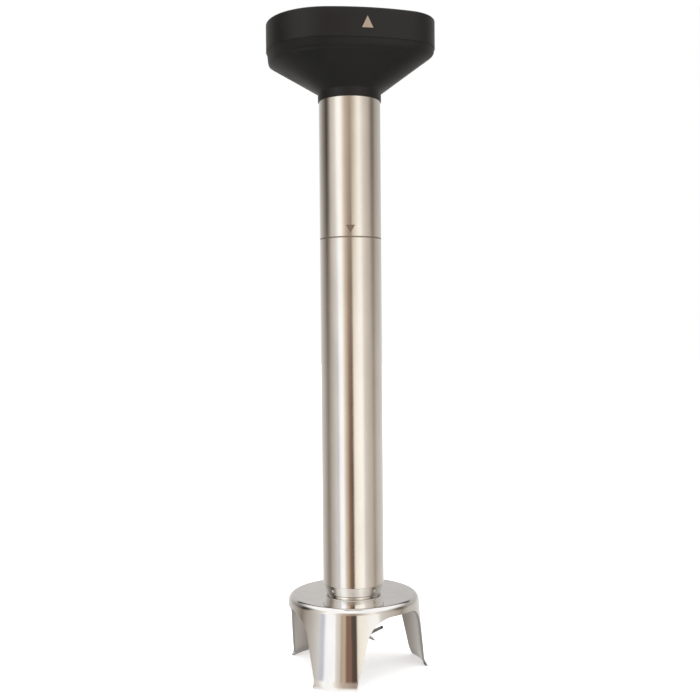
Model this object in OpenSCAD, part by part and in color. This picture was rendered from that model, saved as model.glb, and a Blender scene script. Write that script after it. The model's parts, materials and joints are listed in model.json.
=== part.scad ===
// Detachable blending arm of a commercial immersion blender, in millimetres.
// Z runs along the drive shaft. Z = 0 is the rim of the coupling housing and the arm hangs below it.
// The nose of the housing points along +X. Heights named *_up are measured upwards from the feet.

/* [Overall] */
// Height of the arm, from the feet of the bell to the rim of the coupling housing
total_h = 421; // [360:1:520]
// Outer diameter of the arm tube
tube_od = 40; // [36:1:50]
// Wall of the arm tube
tube_wall = 1.5; // [1:0.1:2]
// Gap all round between pieces that are clamped, glued or pressed together
seat_gap = 0.04; // [0.02:0.01:0.1]
// Radial gap between the turning shaft and what it turns in
running_gap = 0.05; // [0.02:0.01:0.1]

/* [Coupling housing] */
// How far the round back of the housing is wider than the tube, measured on the radius
housing_overhang = 19.8; // [19:0.1:28]
// Distance from the shaft back to the centre of the round back
back_offset = 14.5; // [8:0.5:20]
// Distance from the shaft forward to the centre of the nose
nose_offset = 31.5; // [30:0.1:42]
// Radius of the nose
nose_r = 24.3; // [20:0.1:28]
// Radius of the gently bulged flanks
flank_r = 144; // [120:1:200]
// Wall of the housing
housing_wall = 3; // [2:0.1:3.5]
// Height of the upright band round the rim
band_h = 18.6; // [17:0.1:26]
// Step from the band in to the funnel
band_step = 0.5; // [0.2:0.1:1]
// Drop from the band to the corner where the funnel turns in
shoulder_drop = 5.6; // [5:0.1:9]
// Height by which that corner is higher at the nose, and lower at the back
shoulder_tilt = 1.6; // [0:0.1:3]
// Amount by which the shoulder leans in along the long flanks of the housing
shoulder_lean = 4.5; // [0:0.5:6]
// Height of the sloping part of the funnel
cone_h = 21.1; // [19:0.1:28]
// Height of the neck under the funnel
neck_h = 5.6; // [4:0.1:12]
// Wall of the neck round the tube
neck_wall = 0.6; // [0.4:0.1:3]
// Radius of the shoulder between the band and the funnel
shoulder_r = 4.6; // [3:0.1:8]
// Radius of the sweep from the funnel into the neck
neck_fillet_r = 1.5; // [1:0.5:4]
// Width of the ledge that the deck plate rests on
ledge_w = 5; // [3:0.5:6]

/* [Motor socket] */
// Depth of the open recess over the deck plate
recess_depth = 13; // [9:0.5:14]
// Thickness of the deck plate
deck_t = 3; // [2:0.5:4]
// Height of the cavity under the deck plate
cavity_h = 15; // [13:0.5:16]
// Outer radius of the spigot that locates the motor unit
spigot_r = 24; // [22:0.5:25]
// Bore radius of the spigot
spigot_bore_r = 20; // [19:0.5:21]
// Thickness of the socket ring's flange
socket_flange_t = 3; // [2:0.5:4]
// Width of the socket ring's flange beyond the spigot
socket_flange_w = 8; // [7:0.5:9]
// Depth of a bayonet lug, measured inwards from the bore
lug_depth = 2.5; // [1.5:0.5:3.5]
// Angle that one bayonet lug covers
lug_angle = 40; // [20:5:70]

/* [Fasteners] */
// Shank radius of the screws
screw_r = 1.5; // [1.25:0.25:2]
// Head radius of the screws
screw_head_r = 2.8; // [2.5:0.1:3]
// Head height of the screws
screw_head_h = 2; // [1.6:0.1:2.4]
// Length of the screws under the head
screw_l = 8; // [7:0.5:9]

/* [Shaft and bearing] */
// Diameter of the drive shaft
shaft_d = 10; // [8:0.5:12]
// Outer diameter of the upper ball bearing
bearing_od = 26; // [22:1:31]
// Width of the upper ball bearing
bearing_w = 8; // [7:0.5:10]
// Number of balls
ball_count = 7; // [6:1:8]
// Outer radius of the drive coupling
coupling_r = 9; // [8:0.5:11]
// Length of the drive coupling
coupling_l = 16; // [14:0.5:18]
// Radius of the hole that takes the motor's drive spindle
spindle_r = 5; // [4:0.25:6]
// Length of the lower bush
bush_l = 20; // [14:1:24]

/* [Bell guard] */
// Height of the top face of the bell over its feet
bell_h = 49; // [44:0.5:60]
// Outer radius of the bell just under its top bend
bell_top_r = 42.9; // [36:0.1:52]
// Outward slope of the legs, in degrees
skirt_lean = 4.6; // [2:0.1:8]
// Height of the lip that curls outward at the feet
lip_h = 6.5; // [4:0.5:8]
// Radius of that lip
lip_r = 11; // [9:0.5:14]
// Outside radius of the bend round the top
bell_bend_r = 4; // [3:0.5:6]
// Thickness of the bell sheet
bell_t = 1.5; // [1:0.1:2]
// Number of legs
leg_count = 3; // [3:1:3]
// Direction of the first leg, from +X
leg_angle = 23; // [0:1:119]
// Half the angle that a leg takes round the bell at its foot
leg_foot_angle = 16.4; // [14:0.2:20]
// Degrees added to that for each mm up the leg
leg_widening = 0.335; // [0.25:0.005:0.36]
// Height of the windows between the legs
window_h = 42.7; // [38:0.1:52]
// Radius in the upper corners of the windows
window_r = 17; // [8:0.5:18]
// Radius of the lower corners of the legs
leg_corner_r = 2.5; // [2:0.5:8]

/* [Foot and blade] */
// Height of the visible collar between bell and tube
collar_h = 7.2; // [5:0.1:10]
// Amount by which the collar's top is smaller in radius than the tube
collar_inset = 0.4; // [0.2:0.1:1]
// Amount by which the collar's foot is smaller in radius than its top
collar_taper = 1.3; // [0:0.1:2]
// Height of the narrow neck under the collar
collar_neck_h = 1; // [0.6:0.1:3]
// Depth of that neck
collar_neck_d = 3.2; // [2.5:0.1:3.5]
// Length of the spigot that plugs into the tube
foot_spigot_l = 30; // [26:1:40]
// Radius of the threaded boss that passes through the bell
boss_r = 15; // [13.5:0.5:16]
// How far the boss reaches below the top face of the bell
boss_depth = 12.5; // [11:0.5:14]
// Radius of the blade tips
blade_r = 22.2; // [20:0.1:28]
// Height of the underside of the blades over the feet
blade_up = 19.2; // [18:0.1:24]
// Thickness of each blade
blade_t = 1.8; // [1.2:0.1:2.2]
// Width of a blade at its root
blade_w = 12; // [9:0.5:14]
// Angle by which the wings bend up or down
blade_bend = 30; // [10:1:34]
// Direction of the upper blade, from +X
blade_angle = 143; // [0:1:179]

/* [Marks] */
// Width of the raised triangle that marks the locking position
mark_w = 7.1; // [4:0.1:10]
// Height of the raised triangle
mark_h = 7.3; // [4:0.1:10]
// Direction that the triangle faces, from +X
mark_angle = -71.5; // [-80:0.5:-60]
// Distance from the rim to the triangle's base
mark_base_drop = 12.9; // [11:0.1:15]
// Depth of the triangle's pocket
mark_depth = 0.8; // [0.4:0.1:1.2]
// Height of the filling level ring over the feet
level_up = 281; // [200:1:300]
// Width of the filling level ring
level_w = 1; // [0.5:0.1:2]
// Depth of the filling level ring
level_depth = 0.3; // [0.1:0.05:0.5]

/* [Hidden] */
$fn = 96;
eps = 0.5;
step_angle = 5;
shoulder_steps = 6;
fillet_steps = 3;
lip_steps = 8;
window_steps = 12;
rim_round = 1.2;

black_plastic = [0.11, 0.11, 0.11];
brushed_steel = [0.72, 0.69, 0.66];
polished_steel = [0.80, 0.79, 0.77];
blade_steel = [0.55, 0.54, 0.53];
seal_rubber = [0.08, 0.08, 0.08];
bronze = [0.62, 0.45, 0.25];
mark_beige = [0.66, 0.58, 0.50];
nylon = [0.85, 0.82, 0.74];

// Tube and housing
tube_r = tube_od / 2;
tube_bore_r = tube_r - tube_wall;
back_r = tube_r + housing_overhang;
neck_r = tube_r + neck_wall;
shoulder_z = -band_h - shoulder_drop;
cone_end_z = shoulder_z - cone_h;
neck_z = cone_end_z - neck_h;
deck_top_z = -recess_depth;
deck_z = deck_top_z - deck_t;
floor_z = deck_z - cavity_h;
relief_h = 6;

// Flank arcs are tangent inside to the nose and back circles
nose_to_flank = flank_r - nose_r;
back_to_flank = flank_r - back_r;
circle_gap = nose_offset + back_offset;
flank_along = (circle_gap ^ 2 + back_to_flank ^ 2 - nose_to_flank ^ 2) / (2 * circle_gap);
flank_x = flank_along - back_offset;
flank_y = -sqrt(back_to_flank ^ 2 - flank_along ^ 2);
nose_turn = atan2(-flank_y, nose_offset - flank_x);
flank_turn = atan2(-flank_y, -back_offset - flank_x);

// Tube top, flange and bearing carrier
flange_t = 4;
flange_sleeve_t = 1.1;
flange_sleeve_h = 5;
flange_fit = 0.3;
flank_reach = flank_r - norm([flank_x, flank_y]);
flange_r = flank_reach - housing_wall - ledge_w - flange_fit;
flange_screw_pcr = (tube_r + flange_sleeve_t + flange_r) / 2;
flange_top_z = floor_z + flange_t;
tube_top_z = flange_top_z + flange_sleeve_h;
carrier_lip_t = 2;
carrier_top_z = tube_top_z + carrier_lip_t;
carrier_r = tube_bore_r - seat_gap;
shaft_r = shaft_d / 2;
bearing_r = bearing_od / 2;
seal_t = 5;
circlip_t = 1.2;
circlip_grip = 1;
carrier_floor_t = 3;
seal_land = 2;
upper_seal_z = carrier_top_z - seal_land - seal_t;
bearing_z = upper_seal_z - bearing_w;
carrier_clip_z = bearing_z - circlip_t;
carrier_bottom_z = carrier_clip_z - carrier_floor_t;

// Ball bearing
ball_pitch_r = (shaft_r + bearing_r) / 2;
ball_r = 0.3 * (bearing_r - shaft_r);
ball_gap = 0.06;
race_shoulder = 0.62 * ball_r;
shield_t = 0.5;
cage_t = 2 * ball_r + 1.2;

// Drive coupling
coupling_top_z = -2;
coupling_z = coupling_top_z - coupling_l;
spindle_depth = coupling_l / 2;
coupling_web = 1;
shaft_top_z = coupling_top_z - spindle_depth - coupling_web;
pin_r = 1.5;
pin_z = (coupling_z + shaft_top_z) / 2;
slot_w = 3;

// Socket ring and screws
socket_flange_r = spigot_r + socket_flange_w;
socket_screw_pcr = spigot_r + socket_flange_w / 2 + 0.4;
socket_screw_l = socket_flange_t + deck_t;
deck_screw_nose_x = nose_offset + 6.9;
deck_screw_back_x = -back_offset - 18;
deck_screw_back_y = back_r - 21.6;
deck_screw_places = [
    [deck_screw_nose_x, 0], [deck_screw_back_x, deck_screw_back_y],
    [deck_screw_back_x, -deck_screw_back_y]
];
deck_boss_r = 4.6;
lug_h = 3;
lug_drop = 1.5;

// Foot, bell and blade, from the feet up
foot_z = -total_h;
bell_z = foot_z + bell_h;
tube_z = bell_z + collar_h;
boss_z = bell_z - boss_depth;
foot_top_z = tube_z + foot_spigot_l;
seal_bore_r = shaft_r + 6;
lower_seal_t = 6;
seal_clip_z = boss_z + 0.8;
seals_z = seal_clip_z + circlip_t;
bush_z = seals_z + 2 * lower_seal_t;
bush_r = shaft_r + 3;
o_ring_r = 1.2;
o_ring_groove_w = 3;
o_ring_z = tube_z + 10;
nut_h = 7;
nut_w = 5;
spanner_hole_r = 0.9;
spanner_hole_depth = 2;
spanner_hole_up = 3;
stub_r = shaft_r - 1;
blade_z = foot_z + blade_up;
hub_z = blade_z + 2 * blade_t;
hub_r = shaft_r + 3;
hub_gap = 0.6;
cap_nut_r = stub_r + 3.5;
cap_nut_h = 6;
cap_dome_h = 2.5;
stub_z = blade_z - cap_nut_h;
collar_top_r = tube_r - collar_inset;
collar_foot_r = collar_top_r - collar_taper;
collar_neck_r = collar_top_r - collar_neck_d;
bell_reach = bell_top_r + bell_h * tan(skirt_lean) + lip_h;

// ---------------------------------------------------------------- shared shapes

// Arc of the housing outline whose outward normal points at angle q: [centre x, centre y, radius]
function arc_at(q) =
    q < nose_turn ? [nose_offset, 0, nose_r] :
    q < flank_turn ? [flank_x, flank_y, flank_r] :
    [-back_offset, 0, back_r];

// Point of the housing outline with the outward normal at angle psi, moved in by inset
function outline_point(psi, inset) =
    let (q = abs(psi), c = arc_at(q), r = c[2] - inset)
    [c[0] + r * cos(q), (psi < 0 ? -1 : 1) * (c[1] + r * sin(q))];

angles = [for (a = [-180 + step_angle : step_angle : 180]) a];

// Level of the housing band
function band_ring(inset, z) = [
    for (psi = angles)
        let (p = outline_point(psi, inset))
        [p[0], p[1], z]
];

// Side profile of the funnel in the direction psi: [share of the way in to the neck, z] going down.
// Its corner is higher at the nose than at the back by the tilt.
funnel_run = back_offset + back_r - band_step - neck_r;
function funnel_profile(psi) =
    let (
        tilt = shoulder_tilt * cos(psi),
        turn = 90 - atan2(cone_h + tilt, funnel_run),
        shoulder_top = shoulder_z + tilt + shoulder_r * tan(turn / 2),
        fillet_low = cone_end_z - neck_fillet_r * tan(turn / 2),
        lean = shoulder_lean / funnel_run * abs(sin(psi)),
        upright = concat(
            [[0, -band_h]],
            [for (i = [0 : shoulder_steps])
                let (a = turn * i / shoulder_steps)
                [shoulder_r * (1 - cos(a)) / funnel_run, shoulder_top - shoulder_r * sin(a)]],
            [for (i = [0 : fillet_steps])
                let (a = turn * (1 - i / fillet_steps))
                [1 - neck_fillet_r * (1 - cos(a)) / funnel_run, fillet_low + neck_fillet_r * sin(a)]],
            [[1, neck_z]]
        )
    )
    [for (p = upright)
        let (lower = min(1, (-band_h - p[1]) / shoulder_drop))
        [p[0] + lean * lower * (1 - p[0]), p[1]]];

function funnel_point(psi, level) =
    let (p = outline_point(psi, band_step), f = funnel_profile(psi)[level])
    [(1 - f[0]) * p[0] + f[0] * neck_r * cos(psi),
     (1 - f[0]) * p[1] + f[0] * neck_r * sin(psi), f[1]];

// Closed solid through a stack of rings with the same number of points each, top ring first
module skin(rings) {
    n = len(rings[0]);
    m = len(rings);
    points = [for (ring = rings) each ring];
    sides = [
        for (j = [0 : m - 2], i = [0 : n - 1])
            let (a = j * n + i, b = j * n + (i + 1) % n)
            each [[a, b, b + n], [a, b + n, a + n]]
    ];
    top = [[for (i = [n - 1 : -1 : 0]) i]];
    bottom = [[for (i = [0 : n - 1]) (m - 1) * n + i]];
    polyhedron(points = points, faces = concat(sides, top, bottom));
}

module housing_section(inset) {
    polygon([for (psi = angles) outline_point(psi, inset)]);
}

module ring(outer_r, inner_r, z, h) {
    translate([0, 0, z]) difference() {
        cylinder(r = outer_r, h = h);
        translate([0, 0, -eps]) cylinder(r = inner_r, h = h + 2 * eps);
    }
}

// Pan head screw with a cross recess, head underside at z = 0, pointing down
module screw(length) {
    recess_w = screw_head_r / 3;
    recess_l = screw_head_r * 1.1;
    recess_d = screw_head_h / 2;
    difference() {
        union() {
            translate([0, 0, -length]) cylinder(r = screw_r, h = length + eps);
            cylinder(r = screw_head_r, h = screw_head_h);
        }
        for (turn = [0, 90]) rotate(turn)
            translate([-recess_l / 2, -recess_w / 2, screw_head_h - recess_d])
                cube([recess_l, recess_w, recess_d + eps]);
    }
}

module at_flange_screws() {
    for (i = [0 : 3]) rotate(45 + i * 90) translate([flange_screw_pcr, 0, 0]) children();
}

module at_socket_screws() {
    for (i = [0 : 2]) rotate(30 + i * 120) translate([socket_screw_pcr, 0, 0]) children();
}

module at_deck_screws() {
    for (p = deck_screw_places) translate(p) children();
}

// Retaining ring with a gap, centred on the shaft
module circlip(outer_r, inner_r, z) {
    gap_w = 4;
    difference() {
        ring(outer_r, inner_r, z, circlip_t);
        translate([0, -gap_w / 2, z - eps]) cube([outer_r + eps, gap_w, circlip_t + 2 * eps]);
    }
}

// ---------------------------------------------------------------- coupling end

// Triangular plate standing on the flank, its outer face a little proud of the surface
module mark_plate(grow, proud) {
    spot = outline_point(mark_angle, 0);
    half = mark_w / 2 + grow;
    translate([spot[0], spot[1], -mark_base_drop])
        rotate([90, 0, mark_angle + 90])
            translate([0, 0, -mark_depth])
                linear_extrude(mark_depth + proud)
                    polygon([[-half, -grow], [half, -grow], [0, mark_h + grow]]);
}

// Black moulding: upright band, funnel and neck, with the motor recess in its top
module coupling_housing() color(black_plastic) {
    rings = concat(
        [band_ring(rim_round, 0), band_ring(rim_round * 0.3, -rim_round * 0.3),
         band_ring(0, -rim_round), band_ring(0, -band_h)],
        [for (level = [0 : len(funnel_profile(0)) - 1])
            [for (psi = angles) funnel_point(psi, level)]]
    );
    difference() {
        skin(rings);
        translate([0, 0, deck_z])
            linear_extrude(-deck_z + eps) housing_section(housing_wall);
        difference() {
            translate([0, 0, deck_z - relief_h])
                linear_extrude(relief_h + eps) housing_section(housing_wall + ledge_w);
            at_deck_screws()
                translate([0, 0, floor_z - eps]) cylinder(r = deck_boss_r, h = cavity_h + eps);
        }
        translate([0, 0, floor_z]) cylinder(r = flange_r + flange_fit, h = cavity_h + eps);
        translate([0, 0, neck_z - eps])
            cylinder(r = tube_r + seat_gap, h = floor_z - neck_z + 2 * eps);
        at_flange_screws()
            translate([0, 0, flange_top_z - screw_l])
                cylinder(r = screw_r + seat_gap, h = screw_l);
        at_deck_screws()
            translate([0, 0, deck_top_z - screw_l])
                cylinder(r = screw_r + seat_gap, h = screw_l);
        mark_plate(seat_gap, 1);
    }
}

// Plate that closes the cavity and carries the socket ring
module deck_plate() color(brushed_steel) {
    difference() {
        translate([0, 0, deck_z])
            linear_extrude(deck_t) housing_section(housing_wall + 0.3);
        translate([0, 0, deck_z - eps]) cylinder(r = spigot_bore_r, h = deck_t + 2 * eps);
        at_deck_screws()
            translate([0, 0, deck_z - eps]) cylinder(r = screw_r + 0.2, h = deck_t + 2 * eps);
        at_socket_screws()
            translate([0, 0, deck_z - eps]) cylinder(r = screw_r + seat_gap, h = deck_t + 2 * eps);
    }
}

module deck_screws() color(polished_steel) {
    at_deck_screws() translate([0, 0, deck_top_z]) screw(screw_l);
}

// Spigot ring that the motor unit slides over, with three bayonet lugs inside its mouth
module socket_ring() color(black_plastic) {
    difference() {
        union() {
            translate([0, 0, deck_top_z]) cylinder(r = spigot_r, h = recess_depth);
            translate([0, 0, deck_top_z]) cylinder(r = socket_flange_r, h = socket_flange_t);
        }
        translate([0, 0, deck_top_z - eps]) cylinder(r = spigot_bore_r, h = recess_depth + 2 * eps);
        at_socket_screws()
            translate([0, 0, deck_top_z - eps])
                cylinder(r = screw_r + 0.2, h = socket_flange_t + 2 * eps);
    }
    for (i = [0 : 2]) rotate(i * 120 - lug_angle / 2)
        rotate_extrude(angle = lug_angle)
            translate([spigot_bore_r - lug_depth, -lug_drop - lug_h])
                square([lug_depth + 1, lug_h]);
}

module socket_screws() color(polished_steel) {
    at_socket_screws() translate([0, 0, deck_top_z + socket_flange_t]) screw(socket_screw_l);
}

module alignment_mark() color(mark_beige) {
    mark_plate(0, 0.15);
}

// Flange welded round the top of the tube and screwed to the housing floor
module tube_flange() color(brushed_steel) {
    difference() {
        union() {
            translate([0, 0, floor_z]) cylinder(r = flange_r, h = flange_t);
            translate([0, 0, floor_z])
                cylinder(r = tube_r + flange_sleeve_t, h = flange_t + flange_sleeve_h);
        }
        translate([0, 0, floor_z - eps])
            cylinder(r = tube_r + seat_gap, h = flange_t + flange_sleeve_h + 2 * eps);
        at_flange_screws()
            translate([0, 0, floor_z - eps]) cylinder(r = screw_r + 0.2, h = flange_t + 2 * eps);
    }
}

module flange_screws() color(polished_steel) {
    at_flange_screws() translate([0, 0, flange_top_z]) screw(screw_l);
}

// Stainless tube with the filling level ring and a plain arrow head cut above it
module arm_tube() color(brushed_steel) {
    arrow_w = 6;
    arrow_h = 5;
    arrow_gap = 2;
    arrow_facing = -82;
    level_z = foot_z + level_up;
    difference() {
        ring(tube_r, tube_bore_r, tube_z, tube_top_z - tube_z);
        ring(tube_r + eps, tube_r - level_depth, level_z - level_w / 2, level_w);
        intersection() {
            ring(tube_r + eps, tube_r - level_depth, level_z, level_w + arrow_gap + arrow_h);
            rotate(arrow_facing) translate([0, 0, level_z + level_w / 2 + arrow_gap])
                rotate([90, 0, 90]) linear_extrude(tube_r + 2 * eps)
                    polygon([[0, 0], [arrow_w / 2, arrow_h], [-arrow_w / 2, arrow_h]]);
        }
    }
}

// ---------------------------------------------------------------- upper bearing

// Turned plug in the top of the tube that holds the seal and the ball bearing
module bearing_carrier() color(nylon) {
    pocket_r = bearing_r + seat_gap;
    difference() {
        union() {
            translate([0, 0, tube_top_z])
                cylinder(r = tube_r + flange_sleeve_t, h = carrier_lip_t);
            translate([0, 0, carrier_bottom_z])
                cylinder(r = carrier_r, h = tube_top_z - carrier_bottom_z + eps);
        }
        translate([0, 0, carrier_bottom_z - eps])
            cylinder(r = pocket_r, h = upper_seal_z + seal_t - carrier_bottom_z + eps);
        translate([0, 0, upper_seal_z])
            cylinder(r = shaft_r + 2, h = carrier_top_z - upper_seal_z + eps);
        translate([0, 0, carrier_clip_z - seat_gap])
            cylinder(r = pocket_r + circlip_grip, h = circlip_t + seat_gap);
    }
}

module upper_shaft_seal() color(seal_rubber) {
    ring(bearing_r, shaft_r + running_gap, upper_seal_z, seal_t);
}

module ball_track() {
    rotate_extrude() translate([ball_pitch_r, bearing_z + bearing_w / 2])
        circle(r = ball_r + ball_gap);
}

module bearing_outer_ring() color(polished_steel) {
    difference() {
        ring(bearing_r, ball_pitch_r + race_shoulder, bearing_z, bearing_w);
        ball_track();
    }
}

module bearing_inner_ring() color(polished_steel) {
    difference() {
        ring(ball_pitch_r - race_shoulder, shaft_r + seat_gap, bearing_z, bearing_w);
        ball_track();
    }
}

module at_balls() {
    for (i = [0 : ball_count - 1]) rotate(i * 360 / ball_count)
        translate([ball_pitch_r, 0, bearing_z + bearing_w / 2]) children();
}

module bearing_balls() color(polished_steel) {
    at_balls() sphere(r = ball_r);
}

module bearing_cage() color(nylon) {
    half_width = race_shoulder - 0.35;
    difference() {
        ring(ball_pitch_r + half_width, ball_pitch_r - half_width,
             bearing_z + (bearing_w - cage_t) / 2, cage_t);
        at_balls() sphere(r = ball_r + ball_gap);
    }
}

// Thin plates pressed into the outer ring, one above and one below the balls
module bearing_shields() color(brushed_steel) {
    shield_outer_r = ball_pitch_r + race_shoulder - seat_gap;
    shield_inner_r = ball_pitch_r - race_shoulder + 0.25;
    ring(shield_outer_r, shield_inner_r, bearing_z, shield_t);
    ring(shield_outer_r, shield_inner_r, bearing_z + bearing_w - shield_t, shield_t);
}

module carrier_circlip() color(blade_steel) {
    circlip(bearing_r + circlip_grip, bearing_r - 1.5, carrier_clip_z);
}

// Clip in a groove of the shaft, under the inner ring
module shaft_circlip() color(blade_steel) {
    circlip(shaft_r + 1.4, shaft_r - 0.5 + seat_gap, bearing_z - circlip_t);
}

// ---------------------------------------------------------------- shaft and coupling

// Shaft from the drive coupling down to the blade, with a threaded stub for the cap nut
module drive_shaft() color(polished_steel) {
    difference() {
        union() {
            translate([0, 0, hub_z]) cylinder(r = shaft_r, h = shaft_top_z - hub_z);
            translate([0, 0, stub_z]) cylinder(r = stub_r, h = hub_z - stub_z + eps);
        }
        ring(shaft_r + eps, shaft_r - 0.5, bearing_z - circlip_t - seat_gap, circlip_t + seat_gap);
        translate([0, 0, pin_z]) rotate([0, 90, 0])
            cylinder(r = pin_r + seat_gap, h = 2 * shaft_r + 2, center = true);
    }
}

// Cup on top of the shaft that the motor's drive spindle plugs into
module drive_coupling() color(blade_steel) {
    difference() {
        translate([0, 0, coupling_z]) cylinder(r = coupling_r, h = coupling_l);
        translate([0, 0, coupling_top_z - spindle_depth])
            cylinder(r = spindle_r, h = spindle_depth + eps);
        translate([0, 0, coupling_z - eps])
            cylinder(r = shaft_r + seat_gap, h = shaft_top_z - coupling_z + eps);
        translate([-coupling_r - eps, -slot_w / 2, coupling_top_z - spindle_depth / 2])
            cube([2 * coupling_r + 2 * eps, slot_w, spindle_depth / 2 + eps]);
        translate([0, 0, pin_z]) rotate([0, 90, 0])
            cylinder(r = pin_r + seat_gap, h = 2 * coupling_r + 2, center = true);
    }
}

module coupling_pin() color(polished_steel) {
    translate([0, 0, pin_z]) rotate([0, 90, 0])
        cylinder(r = pin_r, h = 2 * coupling_r - 2, center = true);
}

// ---------------------------------------------------------------- foot

// Turned foot: spigot in the tube, visible collar, and the threaded boss through the bell
module foot_housing() color(polished_steel) {
    collar_edge = 0.4;
    collar_z = bell_z + collar_neck_h;
    difference() {
        rotate_extrude() polygon([
            [0, boss_z], [boss_r, boss_z], [boss_r, bell_z], [collar_neck_r, bell_z],
            [collar_neck_r, collar_z], [collar_foot_r - collar_edge, collar_z],
            [collar_foot_r, collar_z + collar_edge], [collar_top_r, tube_z],
            [tube_bore_r - seat_gap, tube_z], [tube_bore_r - seat_gap, foot_top_z],
            [0, foot_top_z]
        ]);
        translate([0, 0, boss_z - eps])
            cylinder(r = seal_bore_r + seat_gap, h = bush_z - boss_z + eps);
        translate([0, 0, seal_clip_z - seat_gap])
            cylinder(r = seal_bore_r + seat_gap + circlip_grip, h = circlip_t + seat_gap);
        translate([0, 0, bush_z - eps]) cylinder(r = bush_r + seat_gap, h = bush_l + eps);
        translate([0, 0, bush_z]) cylinder(r = shaft_r + 1, h = foot_top_z - bush_z + eps);
        ring(tube_r, tube_bore_r - seat_gap - 2 * o_ring_r,
             o_ring_z - o_ring_groove_w / 2, o_ring_groove_w);
        for (i = [0 : 3]) rotate(-37 + i * 90)
            translate([collar_top_r - spanner_hole_depth, 0, collar_z + spanner_hole_up]) rotate([0, 90, 0])
                cylinder(r = spanner_hole_r, h = spanner_hole_depth + eps);
    }
}

module foot_o_ring() color(seal_rubber) {
    rotate_extrude() translate([tube_bore_r - 2 * seat_gap - o_ring_r, o_ring_z])
        circle(r = o_ring_r - seat_gap);
}

module lower_bush() color(bronze) {
    ring(bush_r, shaft_r + running_gap, bush_z, bush_l);
}

module lower_shaft_seals() color(seal_rubber) {
    lip_gap = 0.3;
    ring(seal_bore_r, shaft_r + running_gap, seals_z, lower_seal_t - lip_gap);
    ring(seal_bore_r, shaft_r + running_gap, seals_z + lower_seal_t, lower_seal_t);
}

module seal_circlip() color(blade_steel) {
    circlip(seal_bore_r + circlip_grip, seal_bore_r - 1.5, seal_clip_z);
}

// ---------------------------------------------------------------- bell

// The skirt leaves the top bend at its slope and runs straight to the lip
bend_centre_r = bell_top_r - bell_bend_r;
bend_centre_z = bell_z - bell_bend_r;
bend_end_r = bend_centre_r + bell_bend_r * cos(skirt_lean);
bend_end_h = bell_h - bell_bend_r + bell_bend_r * sin(skirt_lean);
lip_centre_r = bend_end_r + (bend_end_h - lip_h) * tan(skirt_lean) + lip_r * cos(skirt_lean);
lip_centre_h = lip_h + lip_r * sin(skirt_lean);

// Outer radius of the skirt at a height over the feet
function skirt_r(h) = h > lip_h
    ? bend_end_r + (bend_end_h - h) * tan(skirt_lean)
    : lip_centre_r - lip_r * cos(asin((lip_centre_h - h) / lip_r));

// Half of the bell's section, moved in by inset and carried below the feet by below
module bell_profile(inset, below) {
    bend_r = bell_bend_r - inset;
    curl_r = lip_r + inset;
    bend_steps = 6;
    foot_turn = asin(lip_centre_h / curl_r);
    foot_r = lip_centre_r - curl_r * cos(foot_turn);
    polygon(concat(
        [[0, bell_z - inset]],
        [for (i = [0 : bend_steps])
            let (a = 90 - (90 - skirt_lean) * i / bend_steps)
            [bend_centre_r + bend_r * cos(a), bend_centre_z + bend_r * sin(a)]],
        [for (i = [0 : lip_steps])
            let (a = skirt_lean + (foot_turn - skirt_lean) * i / lip_steps)
            [lip_centre_r - curl_r * cos(a), foot_z + lip_centre_h - curl_r * sin(a)]],
        below > 0 ? [[foot_r, foot_z - below]] : [],
        [[0, foot_z - below]]
    ));
}

// Half width of a window at a height over the feet, seen square on
function window_x(h) =
    skirt_r(h) * sin(180 / leg_count - leg_foot_angle - leg_widening * h);

// Outline of one window: flat top, rounded upper corners, slanted sides, rounded leg corners
module window_outline() {
    lean = atan2(window_x(window_h - window_r) - window_x(window_h), window_r);
    tangent_h = window_h - window_r * (1 - sin(lean));
    corner_x = window_x(tangent_h) - window_r * cos(lean);
    foot_x = window_x(leg_corner_r);
    half = concat(
        [for (i = [0 : window_steps])
            let (a = 90 - (90 - lean) * i / window_steps)
            [corner_x + window_r * cos(a), window_h - window_r + window_r * sin(a)]],
        [for (i = [1 : window_steps])
            let (h = tangent_h + (leg_corner_r - tangent_h) * i / window_steps)
            [window_x(h), h]],
        [for (i = [1 : 5])
            [foot_x + leg_corner_r * (1 - cos(18 * i)), leg_corner_r * (1 - sin(18 * i))]],
        [[foot_x + leg_corner_r, -2]]
    );
    count = len(half);
    polygon(concat(half, [for (i = [count - 1 : -1 : 0]) [-half[i][0], half[i][1]]]));
}

// Pressed bell with a flat top and three flared legs
module bell_guard() color(polished_steel) {
    inner_reach = 12;
    difference() {
        rotate_extrude() bell_profile(0, 0);
        rotate_extrude() bell_profile(bell_t, eps);
        translate([0, 0, bell_z - bell_t - eps])
            cylinder(r = boss_r + seat_gap, h = bell_t + 2 * eps);
        for (i = [0 : leg_count - 1]) rotate(leg_angle + 60 + i * 360 / leg_count)
            translate([inner_reach, 0, foot_z]) rotate([90, 0, 90])
                linear_extrude(bell_reach) window_outline();
    }
}

// Ring nut that clamps the bell to the foot
module bell_nut() color(brushed_steel) {
    notch_w = 4;
    notch_d = 2;
    nut_z = bell_z - bell_t - nut_h;
    difference() {
        ring(boss_r + nut_w, boss_r + seat_gap, nut_z, nut_h);
        for (i = [0 : 3]) rotate(i * 90)
            translate([boss_r + nut_w - notch_d, -notch_w / 2, nut_z - eps])
                cube([notch_d + eps, notch_w, nut_h + 2 * eps]);
    }
}

// ---------------------------------------------------------------- blade

// Sleeve that carries the blades and throws liquid off below the seals
module blade_hub() color(polished_steel) {
    slinger_r = hub_r + 2.5;
    slinger_t = 1.5;
    hub_top_z = boss_z - hub_gap;
    difference() {
        union() {
            translate([0, 0, hub_z]) cylinder(r = hub_r, h = hub_top_z - hub_z);
            translate([0, 0, hub_top_z - slinger_t]) cylinder(r = slinger_r, h = slinger_t);
        }
        translate([0, 0, hub_z - eps])
            cylinder(r = shaft_r + seat_gap, h = hub_top_z - hub_z + 2 * eps);
    }
}

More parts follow.
